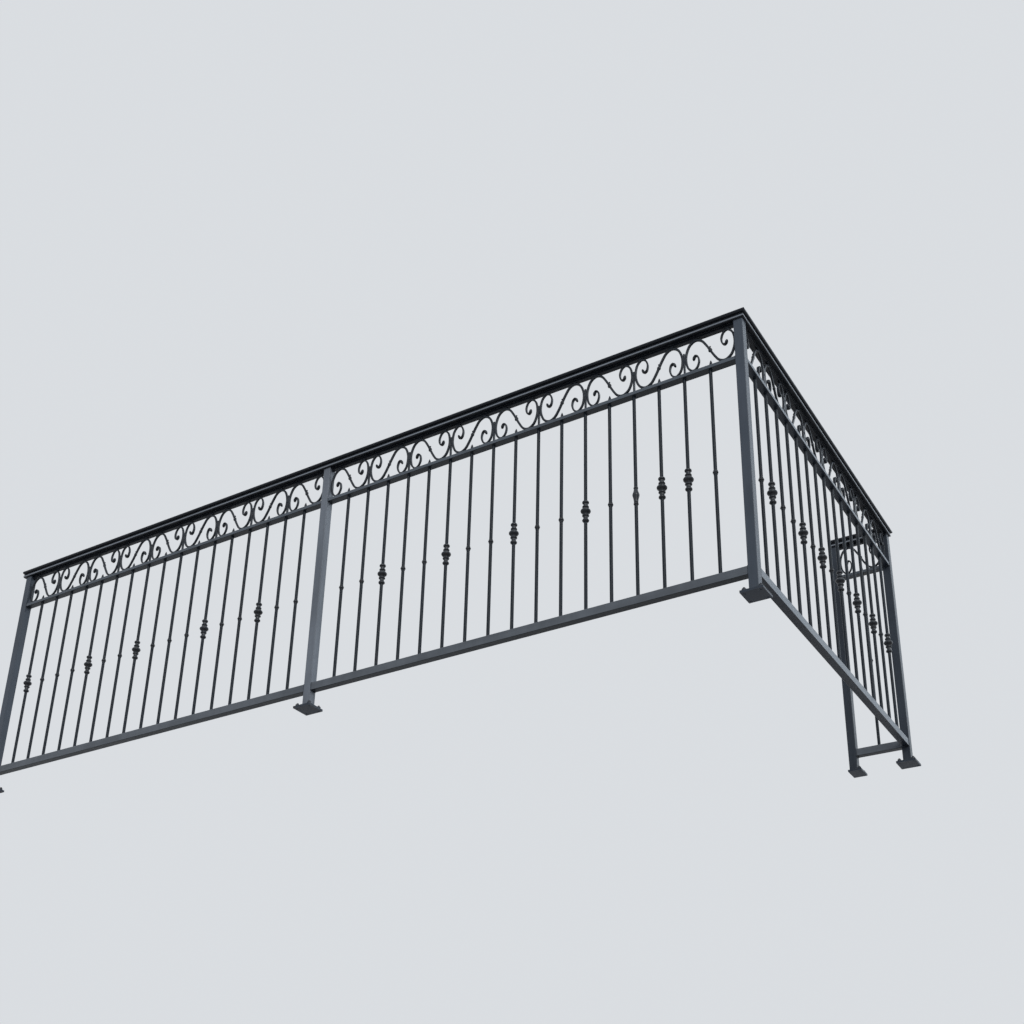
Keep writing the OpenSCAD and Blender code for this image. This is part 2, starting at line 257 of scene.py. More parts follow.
def mixPaint(name, look):
    paint = bpy.data.materials.new(name)
    paint.use_nodes = True
    board = Board(paint.node_tree)
    place = board.node("ShaderNodeTexCoord", out="Object")
    facing = board.node("ShaderNodeNewGeometry", out="Normal")
    softened = board.node("ShaderNodeBevel", {"samples": 4}, {"Radius": look["edge"]})

    def noise(scale, detail, stretch=(1, 1, 1), shift=0.0):
        spot = board.node(
            "ShaderNodeMapping", {}, {"Vector": place, "Scale": stretch, "Location": (shift, shift, 0)})
        return board.node("ShaderNodeTexNoise", {}, {"Vector": spot, "Scale": scale, "Detail": detail})

    cloud, drip, speck = (noise(**paintNoises[kind]) for kind in ("cloud", "drip", "speck"))
    brushed = noise(1, 4, look["brush"])
    grain = noise(look["grain"], 2)
    dent = noise(look["dent"], 2)

    bend = board.node("ShaderNodeVectorMath", {"operation": "DOT_PRODUCT"}, {0: softened, 1: facing}, out=1)
    edge = (1 - bend).rise(*maskSpans["edge"])
    # worn edges, lightened further as painted edge highlights
    wearAndEdgeHighlight = (edge * (0.35 + speck * 1.2) * (0.4 + cloud)).rise(*maskSpans["wearAndEdgeHighlight"]) * look["wearAndHighlight"]
    upward = board.node("ShaderNodeSeparateXYZ", {}, {0: facing}, out="Z")
    lying = upward.rise(*maskSpans["lying"]) * (0.45 + brushed * 0.9) * look["dusty"]
    fadedLitSide = upward.rise(*maskSpans["fadedLitSide"])  # undersides keep the dark unfaded tone, darkened further as painted shade
    pits = speck * 0.6 + dent * 0.55 + edge * 0.10 + drip * 0.12
    pitted = pits.rise(*maskSpans["pitted"]) * look["rusty"]
    patchy = (cloud * 0.7 + brushed * 0.35 + drip * 0.35).rise(*maskSpans["patchy"])
    # away from undersides the lighter tone shows: faded paint with painted light
    fadedAndLit = fadedLitSide * (0.62 + patchy * 0.6) * look["fadeAndLight"]

    if "lip" in look:  # the handrail's lower lip: a painted highlight on its upright faces, and painted shade on the rib below
        high = board.node("ShaderNodeSeparateXYZ", {}, {0: place}, out="Z")
        above = high.rise(look["lipFrom"], look["lipFrom"] + look["lipSoft"])
        within = above * (1 - high.rise(look["lipTo"] - look["lipSoft"], look["lipTo"]))
        # below the lip the lighter tone gives way to the dark one: painted shade under the lip
        fadedAndLit = fadedAndLit * high.rise(look["lipFrom"] - look["underLipShade"], look["lipFrom"])
        upright = (1 - upward * upward).rise(*maskSpans["upright"])
        lipHighlightShare = within * upright * (0.55 + brushed * 0.7)
    colour = board.blend(fadedAndLit.limited(), look["freshAndShaded"], look["fadedAndLit"])
    if "lip" in look:
        colour = board.blend(lipHighlightShare.limited(), colour, look["lip"])
    colour = board.blend(wearAndEdgeHighlight, colour, look["wornAndHighlight"])
    colour = board.blend(lying.limited(), colour, look["dust"])
    colour = board.blend(pitted.limited(), colour, look["rust"])
    rough = look["rough"] + (speck - 0.5) * 0.14 + (cloud - 0.5) * 0.16 + lying * 0.35
    rough = (rough + pitted * 0.3 - wearAndEdgeHighlight * 0.12 + (1 - fadedLitSide) * 0.08).limited()

    relief = (
        brushed * look["brushDeep"] + grain * look["grainDeep"] + dent * look["dentDeep"]
        - pitted * look["pitDeep"]
    )
    bump = board.node(
        "ShaderNodeBump", {}, {"Strength": 1.0, "Distance": 1.0, "Height": relief, "Normal": softened})
    coat = board.node("ShaderNodeBsdfPrincipled", {}, {
        "Base Color": colour, "Roughness": rough, "Normal": bump, "IOR": 1.46,
        "Specular IOR Level": look["shine"],
    })
    board.node("ShaderNodeOutputMaterial", {}, {"Surface": coat})
    return paint


paints = {name: mixPaint(name, {**paintBase, **own}) for name, own in paintLooks.items()}
print("paints mixed:", len(paints))

# Which paint each kept CAD node wears, by the first word of its name that fits
nodePaints = [
    ("cap_side", "sideHandrailPaint"),
    ("cap_", "handrailPaint"),
    ("second_rail_side", "sideRailPaint"),
    ("foot_rail_side", "sideRailPaint"),
    ("second_rail_", "railPaint"),
    ("foot_rail_", "footRailPaint"),
    ("post_middle", "paledPostPaint"),
    ("post_far", "shelteredPostPaint"),
    ("post_wall", "shelteredPostPaint"),
    ("post_", "postPaint"),
    ("base_plate_", "platePaint"),
    ("bars_", "barPaint"),
    ("knuckles_", "castingPaint"),
    ("slim_knuckle", "castingPaint"),
    ("collars_", "castingPaint"),
    ("scrolls_", "scrollPaint"),
    ("ties_", "scrollPaint"),
    ("spikes_", "scrollPaint"),
]


def paintNode(name):
    coat = next(paints[paint] for start, paint in nodePaints if name.startswith(start))
    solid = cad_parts[name]
    for place in solid.material_slots:
        place.material = coat
    if not solid.material_slots:
        solid.data.materials.append(coat)


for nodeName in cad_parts:
    paintNode(nodeName)
print("solids painted")


# The railing's four runs, each from the face of the post where it starts; turn is the way that the
# run goes and inward the way that its back faces, in degrees; knuckles and slim name its bars
runs = {
    "bay1": {
        "turn": 180, "inward": 90, "bars": 17, "scrolls": 9, "knuckles": [2, 3, 6, 9, 12, 15], "slim": [4],
    },
    "bay2": {
        "turn": 180, "inward": 90, "bars": 17, "scrolls": 9, "knuckles": [3, 6, 10, 13, 17], "slim": [],
    },
    "side": {
        "turn": 90, "inward": 180, "bars": 15, "scrolls": 8, "knuckles": [2, 5, 7, 9, 11, 13, 15], "slim": [],
    },
    "return": {"turn": 180, "inward": -90, "bars": 1, "scrolls": 1, "knuckles": [], "slim": []},
}
for runName, run in runs.items():
    low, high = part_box("foot_rail_" + runName)
    middle = (low + high) / 2
    start = Vector((middle.x, low.y, 0)) if run["turn"] == 90 else Vector((high.x, middle.y, 0))
    run["clear"] = high.y - low.y if run["turn"] == 90 else high.x - low.x
    run["frame"] = Matrix.Translation(start) @ Matrix.Rotation(math.radians(run["turn"]), 4, "Z")
    run["barPitch"] = run["clear"] / (run["bars"] + 1)

postNames = ("corner", "middle", "end", "far", "wall")
# Heights that the pieces below stand on, in metres
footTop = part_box("foot_rail_bay1")[1].z
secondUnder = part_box("second_rail_bay1")[0].z
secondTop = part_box("second_rail_bay1")[1].z
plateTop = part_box("base_plate_corner")[1].z


def linkMesh(name, mesh):
    piece = bpy.data.objects.new(name, mesh)
    bpy.context.collection.objects.link(piece)
    return piece


def finishPiece(piece, slot, *nodes):  # nodes are the solids that the piece stands for
    if nodes:
        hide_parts(*nodes)
    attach(piece, "root")


def guideMesh(name, points, links=(), numbers=None):  # points and lines that a node tree grows on
    mesh = bpy.data.meshes.new(name)
    mesh.from_pydata(points, links, [])
    for label, values in (numbers or {}).items():
        layer = mesh.attributes.new(label, "FLOAT", "POINT")
        layer.data.foreach_set("value", values)
    return linkMesh(name, mesh)


def geometryBoard(name, sizes):  # an empty geometry tree with named inputs
    tree = bpy.data.node_groups.new(name, "GeometryNodeTree")
    board = Board(tree)
    tree.interface.new_socket(name="Guide", in_out="INPUT", socket_type="NodeSocketGeometry")
    tree.interface.new_socket(name="Piece", in_out="OUTPUT", socket_type="NodeSocketGeometry")
    for label, value in sizes.items():
        kind = "NodeSocketInt" if isinstance(value, int) else "NodeSocketFloat"
        tree.interface.new_socket(name=label, in_out="INPUT", socket_type=kind)
    entry = tree.nodes.new("NodeGroupInput")
    return board, {socket.name: Wire(board, socket) for socket in entry.outputs if socket.name}


def closeBoard(board, grown, paint):
    real = board.node("GeometryNodeRealizeInstances", {}, {0: grown})
    smooth = board.node("GeometryNodeSetShadeSmooth", {}, {0: real})
    coated = board.node("GeometryNodeSetMaterial", {}, {0: smooth, "Material": paint})
    board.node("NodeGroupOutput", {}, {0: coated})


def grow(piece, board, sizes):  # runs the tree and keeps its result as a plain mesh
    modifier = piece.modifiers.new("grow", "NODES")
    modifier.node_group = board.tree
    for item in board.tree.interface.items_tree:
        if item.in_out == "INPUT" and item.name in sizes:
            modifier[item.identifier] = sizes[item.name]
    graph = bpy.context.evaluated_depsgraph_get()
    mesh = bpy.data.meshes.new_from_object(piece.evaluated_get(graph), depsgraph=graph)
    piece.modifiers.remove(modifier)
    mesh.name = piece.name
    piece.data = mesh
    return piece


def joinWires(board, *parts):
    joined = board.tree.nodes.new("GeometryNodeJoinGeometry")
    for part in reversed(parts):
        board.tree.links.new(part.socket, joined.inputs[0])
    return Wire(board, joined.outputs[0])


# Scrolls: forged S bars in the band below the handrail, every other one the other way round.
# Sizes are millimetres; the keys count from the crossing; crown, side and foot say where the lobe
# touches rib, tie and pad, as shares of its width and half height
scroll = {
    "height": 128,
    "lift": 5,
    "tie": 6,
    "thick": 8.2,
    "tip": 4.6,
    "taperKey": 5,
    "deep": 8,
    "flareKey": 9,
    "tipDeep": 14,
    "corner": 2.0,
    "flat": 0.4,
    "steps": 7,
    "eye": (9.6, 14.6, 20.0),
    "eyeLean": 18,
    "boss": (14.4, 11.0, 16.6),
    "neck": (3.6, 3.6, 9.0),
    "neckUp": 10.4,
    "bud": (5.8, 5.8, 6.4),
    "budUp": 14.4,
    "pad": 14,
    "crown": 0.74,
    "side": 0.14,
    "foot": 0.58,
}
# Key points from the crossing round one lobe to its eye, as shares of the lobe's width and half height
lobeKeys = [
    (0, 0), (0.16, -0.46), (0.34, -0.85), (scroll["foot"], -1), (0.82, -0.8), (0.96, -0.36),
    (1, scroll["side"]), (0.93, 0.7), (scroll["crown"], 1), (0.56, 0.87), (0.47, 0.5), (0.51, 0.15),
    (0.61, 0.05), (0.67, 0.17),
]


def smoothLine(keys, steps):  # a smooth line through the key points
    line = []
    last = len(keys) - 1
    for i in range(last):
        a, b, c, d = (Vector(keys[min(max(i + k, 0), last)]) for k in (-1, 0, 1, 2))
        for k in range(steps):
            t = k / steps
            line.append(0.5 * (
                2 * b + (c - a) * t + (2 * a - 5 * b + 4 * c - d) * t * t
                + (3 * b - a - 3 * c + d) * t ** 3))
    return line + [Vector(keys[last])]


def scrollGuide(name, width):  # the S from eye to eye, upright in the XZ plane
    across = width / 2 - scroll["thick"] / 2 + scroll["flat"]
    upward = scroll["height"] / 2 - scroll["thick"] / 2 + scroll["flat"]
    lobe = smoothLine([(x * across, z * upward) for x, z in lobeKeys], scroll["steps"])
    line = [-p for p in reversed(lobe[1:])] + lobe
    points = [(p.x * mm, 0, p.y * mm) for p in line]
    half = len(lobe) - 1
    lastKey = len(lobeKeys) - 1
    girth, flare = [], []
    for i in range(len(line)):
        key = abs(i - half) / scroll["steps"]  # how many key points away from the crossing
        thinned = max(0, key - scroll["taperKey"]) / (lastKey - scroll["taperKey"])
        flared = max(0, key - scroll["flareKey"]) / (lastKey - scroll["flareKey"])
        girth.append(1 + (scroll["tip"] / scroll["thick"] - 1) * thinned)
        flare.append((1 + (scroll["tipDeep"] / scroll["deep"] - 1) * flared) / girth[-1])
    links = [(i, i + 1) for i in range(len(points) - 1)]
    return guideMesh(name, points, links, {"girth": girth, "flare": flare})


def scrollBoard(width):
    sizes = {"Count": 9, "Pitch": 0.19, "Base": 0.9, "Turn": 0.0, "StartX": 0.0, "StartY": 0.0}
    board, inlet = geometryBoard("scrollBand", sizes)
    line = board.node("GeometryNodeMeshToCurve", {}, {0: inlet["Guide"]})
    section = board.node("GeometryNodeCurvePrimitiveQuadrilateral", {}, {
        "Width": scroll["thick"] * mm, "Height": scroll["deep"] * mm,
    })
    section = board.node("GeometryNodeFilletCurve", {"mode": "POLY"}, {
        "Curve": section, "Count": 2, "Radius": scroll["corner"] * mm,
    })
    girth = board.node("GeometryNodeInputNamedAttribute", {"data_type": "FLOAT"}, {"Name": "girth"})
    bar = board.node("GeometryNodeCurveToMesh", {}, {
        "Curve": line, "Profile Curve": section, "Scale": girth, "Fill Caps": True,
    })
    # the ends are drawn out thin and wide, so the bar's depth is set apart from its girth
    flare = board.node("GeometryNodeInputNamedAttribute", {"data_type": "FLOAT"}, {"Name": "flare"})
    widened = board.node("ShaderNodeCombineXYZ", {}, {"X": 1.0, "Y": flare, "Z": 1.0})
    spread = board.node("ShaderNodeVectorMath", {"operation": "MULTIPLY"}, {
        0: board.node("GeometryNodeInputPosition"), 1: widened,
    })
    bar = board.node("GeometryNodeSetPosition", {}, {"Geometry": bar, "Position": spread})

    def knob(size, up=0, lean=0, segments=16, rings=10):  # a rounded lump, wide, deep and high
        lump = board.node("GeometryNodeMeshUVSphere", {}, {
            "Segments": segments, "Rings": rings, "Radius": mm / 2,
        })
        return board.node("GeometryNodeTransform", {}, {
            "Geometry": lump, "Scale": size, "Translation": (0, 0, up * mm),
            "Rotation": (0, math.radians(lean), 0),
        })

    ends = board.node("GeometryNodeCurveEndpointSelection")
    eyes = board.node("GeometryNodeInstanceOnPoints", {}, {
        "Points": line, "Selection": ends, "Instance": knob(scroll["eye"], lean=scroll["eyeLean"]),
    })
    boss = knob(scroll["boss"])
    neck = knob(scroll["neck"], scroll["neckUp"], segments=8, rings=5)
    bud = knob(scroll["bud"], scroll["budUp"], segments=10, rings=6)

    # the pad under the lower lobe: a short upright block on the second rail
    padBottom = -scroll["height"] / 2 - scroll["lift"]
    padX = width * scroll["foot"] / 2
    stem = board.node("GeometryNodeCurvePrimitiveLine", {}, {
        "Start": (padX * mm, 0, padBottom * mm),
        "End": (padX * mm, 0, (padBottom + scroll["lift"] + scroll["thick"] / 2) * mm),
    })
    block = board.node("GeometryNodeCurvePrimitiveQuadrilateral", {}, {
        "Width": scroll["deep"] * mm, "Height": scroll["pad"] * mm,
    })
    block = board.node("GeometryNodeFilletCurve", {"mode": "POLY"}, {
        "Curve": block, "Count": 2, "Radius": scroll["corner"] * mm,
    })
    pad = board.node("GeometryNodeCurveToMesh", {}, {
        "Curve": stem, "Profile Curve": block, "Fill Caps": True,
    })

    one = joinWires(board, bar, eyes, boss, neck, bud, pad)
    first = board.node("ShaderNodeCombineXYZ", {}, {"X": width / 2 * mm, "Z": inlet["Base"]})
    step = board.node("ShaderNodeCombineXYZ", {}, {"X": inlet["Pitch"]})
    places = board.node("GeometryNodeMeshLine", {}, {
        "Count": inlet["Count"], "Start Location": first, "Offset": step,
    })
    order = board.node("GeometryNodeInputIndex")
    aboutFace = board.node("ShaderNodeCombineXYZ", {}, {"Z": (order + 1) % 2 * math.pi})
    band = board.node("GeometryNodeInstanceOnPoints", {}, {
        "Points": places, "Instance": one, "Rotation": aboutFace,
    })
    start = board.node("ShaderNodeCombineXYZ", {}, {"X": inlet["StartX"], "Y": inlet["StartY"]})
    turn = board.node("ShaderNodeCombineXYZ", {}, {"Z": inlet["Turn"]})
    placed = board.node("GeometryNodeTransform", {}, {
        "Geometry": band, "Translation": start, "Rotation": turn,
    })
    closeBoard(board, placed, paints["scrollPaint"])
    return board


def makeScrolls(runName, run):
    width = (run["clear"] / mm - (run["scrolls"] - 1) * scroll["tie"]) / run["scrolls"]
    start = run["frame"].translation
    band = grow(scrollGuide("scroll_band_" + runName, width), scrollBoard(width), {
        "Count": run["scrolls"],
        "Pitch": (width + scroll["tie"]) * mm,
        "Base": secondTop + (scroll["lift"] + scroll["height"] / 2) * mm,
        "Turn": math.radians(run["turn"]),
        "StartX": start.x,
        "StartY": start.y,
    })
    finishPiece(band, "scroll_paint", "scrolls_" + runName)


for runName, run in runs.items():
    makeScrolls(runName, run)
print("scroll bands forged")


# Castings slipped onto the bars: each outline is radius and height in millimetres, from the bore outwards
casting = {
    "bore": 5.7,
    "sides": 40,
    "middle": 481,
    "knuckleHeight": 82,
    "slimHeight": 70,
    "collarHeight": 15.3,
    "collarDrop": 3,
    "grubSides": 12,
}


def rimArc(radius, low, high, steps=6):  # the half round rim of a ring
    reach = (high - low) / 2
    turns = [math.pi * k / steps for k in range(steps + 1)]
    return [
        (radius - reach + reach * math.sin(a), (low + high) / 2 - reach * math.cos(a)) for a in turns
    ]


castingOutlines = {
    "knuckle": [(casting["bore"], 0.7), (6.7, 0)] + rimArc(12, 0, 11) + [
        (8.3, 11.5), (7.9, 13.2), (7.9, 17), (8.6, 20),
    ] + rimArc(12.1, 20.6, 28.6) + [
        (9.9, 29.2), (9.7, 31.2), (10.7, 32.8), (12.6, 34.6), (14.8, 36.4), (16.5, 38.6), (17.5, 41),
        (17.5, 43.4), (16.5, 45.8), (14.8, 48), (12.6, 49.8), (10.7, 51.6), (9.6, 53), (9.6, 54.4),
    ] + rimArc(11.6, 55, 63) + [
        (8.5, 63.6), (7.9, 65.4), (7.9, 68.8), (8.3, 70.5),
    ] + rimArc(12, 71, 82) + [(6.7, 82), (casting["bore"], 81.3)],
    "slim": [(casting["bore"], 0.6), (6.5, 0.3)] + rimArc(8.7, 0.3, 7.7) + [
        (7.4, 8.3), (7.4, 12), (7.8, 17), (8.6, 23), (9.8, 28.5), (11.1, 33.5), (11.8, 36.6), (12, 39),
        (11.6, 42), (10.6, 45.5), (9.2, 49.5), (7.9, 54), (7.1, 58.5), (6.9, 61.6),
    ] + rimArc(8.1, 62.3, 69.7) + [(6.5, 69.7), (casting["bore"], 69.4)],
    "collar": [(casting["bore"], 0.4), (6.8, 0), (7.2, 0.5), (7.2, 2.9)] + rimArc(9.5, 3.2, 12.1) + [
        (7.2, 12.4), (7.2, 14.8), (6.8, 15.3), (casting["bore"], 14.9),
    ],
}
grubOutline = [(0, 0.9), (1.05, 0.9), (1.05, 2.1), (1.8, 2.1), (2.05, 1.8), (2.05, 0), (0, 0)]
# Where the grub screw sits in each casting: its distance from the bar's middle and its height
grubPlaces = {"knuckle": (10.2, 5.5), "slim": (6.8, 4.0), "collar": (7.8, 7.6)}


def addRing(shape, outlines, placed=Matrix()):  # a closed ring of faces, with one outline for each side
    rings = []
    sides = len(outlines)
    for k, outline in enumerate(outlines):
        a = 2 * math.pi * k / sides
        rings.append([
            shape.verts.new(placed @ Vector((r * mm * math.cos(a), r * mm * math.sin(a), z * mm)))
            for r, z in outline
        ])
    for k in range(sides):
        near, far = rings[k], rings[(k + 1) % sides]
        for i in range(len(near)):
            j = (i + 1) % len(near)
            shape.faces.new((near[i], far[i], far[j], near[j]))


def addTurned(shape, outline, sides, placed=Matrix()):  # the same outline all the way round
    addRing(shape, [outline] * sides, placed)


def finishShape(name, shape):
    bmesh.ops.remove_doubles(shape, verts=shape.verts, dist=1e-6)
    bmesh.ops.recalc_face_normals(shape, faces=shape.faces)
    mesh = bpy.data.meshes.new(name)
    shape.to_mesh(mesh)
    shape.free()
    return linkMesh(name, mesh)


def castPattern(kind):  # the casting with its grub screw towards +X
    shape = bmesh.new()
    addTurned(shape, castingOutlines[kind], casting["sides"])
    out, up = grubPlaces[kind]
    facing = Matrix.Translation((out * mm, 0, up * mm)) @ Matrix.Rotation(math.pi / 2, 4, "Y")
    addTurned(shape, grubOutline, casting["grubSides"], facing)
    return finishShape(kind + "Pattern", shape)


def repeatBoard(name, pattern, paint):  # sets a pattern piece on each guide point, turned by its "turn"
    board, inlet = geometryBoard(name, {"Size": 1.0})
    shape = board.node("GeometryNodeObjectInfo", {}, {"Object": pattern}, out="Geometry")
    turn = board.node("GeometryNodeInputNamedAttribute", {"data_type": "FLOAT"}, {"Name": "turn"})
    turned = board.node("ShaderNodeCombineXYZ", {}, {"Z": turn})
    size = board.node("ShaderNodeCombineXYZ", {}, {axis: inlet["Size"] for axis in "XYZ"})
    placed = board.node("GeometryNodeInstanceOnPoints", {}, {
        "Points": inlet["Guide"], "Instance": shape, "Rotation": turned, "Scale": size,
    })
    closeBoard(board, placed, paint)
    return board


def setOut(name, pattern, places, paint):  # places are pairs of a point and a turn
    guide = guideMesh(name, [p for p, _ in places], numbers={"turn": [turn for _, turn in places]})
    return grow(guide, repeatBoard(name, pattern, paint), {"Size": 1.0})


def barPlaces(run, which, height):  # on these bars of a run, turned so that +X faces inwards
    inward = math.radians(run["inward"])
    return [(run["frame"] @ Vector((bar * run["barPitch"], 0, height * mm)), inward) for bar in which]


patterns = {kind: castPattern(kind) for kind in castingOutlines}
knuckleBase = casting["middle"] - casting["knuckleHeight"] / 2
slimBase = casting["middle"] - casting["slimHeight"] / 2
collarBase = casting["middle"] - casting["collarDrop"] - casting["collarHeight"] / 2
for runName, run in runs.items():
    plain = [bar for bar in range(1, run["bars"] + 1) if bar not in run["knuckles"] + run["slim"]]
    jobs = [
        ("knuckle", run["knuckles"], knuckleBase, "turned_knuckles_" + runName, "knuckles_" + runName),
        ("slim", run["slim"], slimBase, "turned_slim_knuckle", "slim_knuckle"),
        ("collar", plain, collarBase, "turned_collars_" + runName, "collars_" + runName),
    ]
    for kind, which, base, name, node in jobs:
        if which:
            piece = setOut(name, patterns[kind], barPlaces(run, which, base), paints["castingPaint"])
            finishPiece(piece, "casting_paint", node)
for pattern in patterns.values():
    bpy.data.objects.remove(pattern)
print("knuckles and collars turned")


# Points of the odd bars, forged blunt, on the second rail under each scroll's crossing
barPoint = {
    "sides": 20,
    "turnEach": 0.9,
    "outline": [
        (0, 0), (5.3, 0), (5.5, 0.8), (5.5, 6), (5.2, 7.2), (5.6, 8.6), (5.5, 11), (4.9, 13.6),
        (4.0, 17), (2.9, 20.6), (1.8, 23.8), (0.9, 25.6), (0, 26),
    ],
}
shape = bmesh.new()
addTurned(shape, barPoint["outline"], barPoint["sides"])
pointPattern = finishShape("pointPattern", shape)
for runName, run in runs.items():
    scrollPitch = (run["clear"] + scroll["tie"] * mm) / run["scrolls"]
    firstMiddle = (scrollPitch - scroll["tie"] * mm) / 2
    places = [
        (run["frame"] @ Vector((firstMiddle + i * scrollPitch, 0, secondTop)), barPoint["turnEach"] * i)
        for i in range(run["scrolls"])
    ]
    finishPiece(
        setOut("bar_points_" + runName, pointPattern, places, paints["scrollPaint"]),
        "scroll_paint", "spikes_" + runName)
bpy.data.objects.remove(pointPattern)
print("bar points forged")


# Anchors: a threaded stud with washer and nut in every hole of the base plates
anchor = {
    "inset": 11,
    "flats": 13,
    "chamfer": 6.9,
    "nut": 6.5,
    "nutEdge": 0.7,
    "washer": [(4.3, 0), (8.3, 0), (8.6, 0.3), (8.6, 1.3), (8.3, 1.6), (4.3, 1.6)],
    "stud": 4.0,
    "root": 3.45,
    "pitch": 1.25,
    "studFrom": -7.5,
    "studTo": 13.0,
    "sides": 24,
    "turned": (0.5, 37, 11),
}


def nutOutline(angle):  # a six-sided nut with its corners cut at both ends
    base = anchor["washer"][-1][1]
    top = base + anchor["nut"]
    flat = anchor["flats"] / 2 / math.cos(angle % (math.pi / 3) - math.pi / 6)
    cut = min(flat, anchor["chamfer"])
    return [
        (anchor["root"], base), (cut, base), (flat, base + anchor["nutEdge"]),
        (flat, top - anchor["nutEdge"]), (cut, top), (anchor["root"], top),
    ]


def anchorPattern():
    shape = bmesh.new()
    addTurned(shape, anchor["washer"], anchor["sides"])
    thread = [(0, anchor["studFrom"]), (anchor["root"], anchor["studFrom"])]
    turns = int((anchor["studTo"] - anchor["studFrom"]) / anchor["pitch"])
    for k in range(turns):
        z = anchor["studFrom"] + k * anchor["pitch"]
        thread += [(anchor["stud"], z + anchor["pitch"] / 2), (anchor["root"], z + anchor["pitch"])]
    thread.append((0, anchor["studFrom"] + turns * anchor["pitch"]))
    addTurned(shape, thread, anchor["sides"] // 2)
    addRing(shape, [nutOutline(2 * math.pi * k / anchor["sides"]) for k in range(anchor["sides"])])
    return finishShape("anchorPattern", shape)


anchorPlaces = []
firstTurn, turnAlongX, turnAlongY = anchor["turned"]  # so that each nut stands its own way
for post in postNames:
    low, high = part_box("base_plate_" + post)
    inset = anchor["inset"] * mm
    across = [high.x - inset] if post == "wall" else [low.x + inset, high.x - inset]
    for x in across:
        for y in (low.y + inset, high.y - inset):
            anchorPlaces.append(((x, y, plateTop), firstTurn + turnAlongX * x + turnAlongY * y))
pattern = anchorPattern()
finishPiece(setOut("anchor_nuts", pattern, anchorPlaces, paints["anchorPaint"]), "plate_paint")
bpy.data.objects.remove(pattern)
print("anchors set:", len(anchorPlaces))


# Weld beads: lines along every joint, grown into rippled beads. Rail, post, bar, scroll and seam are
# the beads' radii; bow and dip shape the short beads on the rib
weld = {
    "rail": 1.7,
    "post": 2.2,
    "bar": 1.2,
    "scroll": 1.25,
    "seam": 0.5,
    "sunk": 0.5,
    "stroke": 9,
    "bow": 1.1,
    "dip": 0.4,
    "step": 1.8,
    "ripple": 0.24,
    "seed": 12,
    "ringPoints": 12,
}
weldLine = {"points": [], "links": [], "girths": []}


def drawWeld(points, size, closed=True):
    first = len(weldLine["points"])
    last = first + len(points) - 1
    weldLine["points"] += [tuple(p) for p in points]
    weldLine["girths"] += [size * mm] * len(points)
    weldLine["links"] += [(i, i + 1) for i in range(first, last)]
    if closed:
        weldLine["links"].append((last, first))


def weldRailEnds(node, sideways):  # round both ends of a rail
    low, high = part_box(node)
    axis, across = (1, 0) if sideways else (0, 1)
    for along in (low[axis] + weld["sunk"] * mm, high[axis] - weld["sunk"] * mm):
        ring = []
        for side, z in ((low, low.z), (high, low.z), (high, high.z), (low, high.z)):
            point = Vector((0, 0, z))
            point[axis] = along
            point[across] = side[across]
            ring.append(point)
        drawWeld(ring, weld["rail"])


def weldPost(post):  # round a post's foot and head; the wall post's flush side has no bead
    low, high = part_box("post_" + post)
    for z, size in ((low.z + weld["sunk"] * mm, weld["post"]), (high.z - weld["sunk"] * mm, weld["rail"])):
        ring = [(low.x, high.y, z), (high.x, high.y, z), (high.x, low.y, z), (low.x, low.y, z)]
        drawWeld(ring, size, closed=post != "wall")


def weldBars(run):  # round each bar where it meets the foot rail and the second rail
    barRadius = (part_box("bars_return")[1].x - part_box("bars_return")[0].x) / 2
    turns = [2 * math.pi * k / weld["ringPoints"] for k in range(weld["ringPoints"])]
    spokes = [barRadius * Vector((math.cos(a), math.sin(a), 0)) for a in turns]
    for bar in range(1, run["bars"] + 1):
        for z in (footTop + weld["sunk"] * mm, secondUnder - weld["sunk"] * mm):
            middle = run["frame"] @ Vector((bar * run["barPitch"], 0, z))
            drawWeld([middle + spoke for spoke in spokes], weld["bar"])


def weldScrolls(run):  # short runs of bead, front and back, where a scroll meets rib, pad, ties and posts
    tie = scroll["tie"] * mm
    width = (run["clear"] - (run["scrolls"] - 1) * tie) / run["scrolls"]
    middleZ = secondTop + (scroll["lift"] + scroll["height"] / 2) * mm
    ribZ = middleZ + scroll["height"] / 2 * mm
    half = weld["stroke"] / 2 * mm
    padHalf = scroll["pad"] / 2 * mm
    across = width / 2
    for i in range(run["scrolls"]):
        middleX = across + i * (width + tie)
        way = -1 if i % 2 == 0 else 1
        for y in (-scroll["deep"] / 2 * mm, scroll["deep"] / 2 * mm):
            strokes = []
            for share in (scroll["crown"], -scroll["foot"]):
                x = middleX + way * share * across
                bowed = (x, y * weld["bow"], ribZ - weld["dip"] * mm)
                strokes.append([(x - half, y, ribZ), bowed, (x + half, y, ribZ)])
            x = middleX + way * scroll["foot"] / 2 * width
            strokes.append([(x - padHalf, y, secondTop), (x + padHalf, y, secondTop)])
            for end in (-1, 1):
                x = middleX + end * across
                z = middleZ + way * end * scroll["side"] * scroll["height"] / 2 * mm
                strokes.append([(x, y, z - half), (x, y, z + half)])
            for stroke in strokes:
                drawWeld([run["frame"] @ Vector(p) for p in stroke], weld["scroll"], closed=False)


# Half of the handrail's section, from the lip over the crown: out from the middle, down from the top
handrailHalf = [
    (22.5, 29.5), (22.5, 21.5), (19.5, 20.5), (19.5, 13.5), (24.5, 12.6), (28.2, 10.4), (29.6, 6.5),
    (28.2, 2.6), (24.5, 0.7),
]


def weldMitre(corner, way):  # the dressed seam over the handrail where two lengths meet at an angle
    outline = [(-out, down) for out, down in handrailHalf] + handrailHalf[::-1]
    line = [
        (corner[0] + out * mm, corner[1] + way * out * mm, cadHigh.z - down * mm) for out, down in outline
    ]
    drawWeld(line, weld["seam"], closed=False)


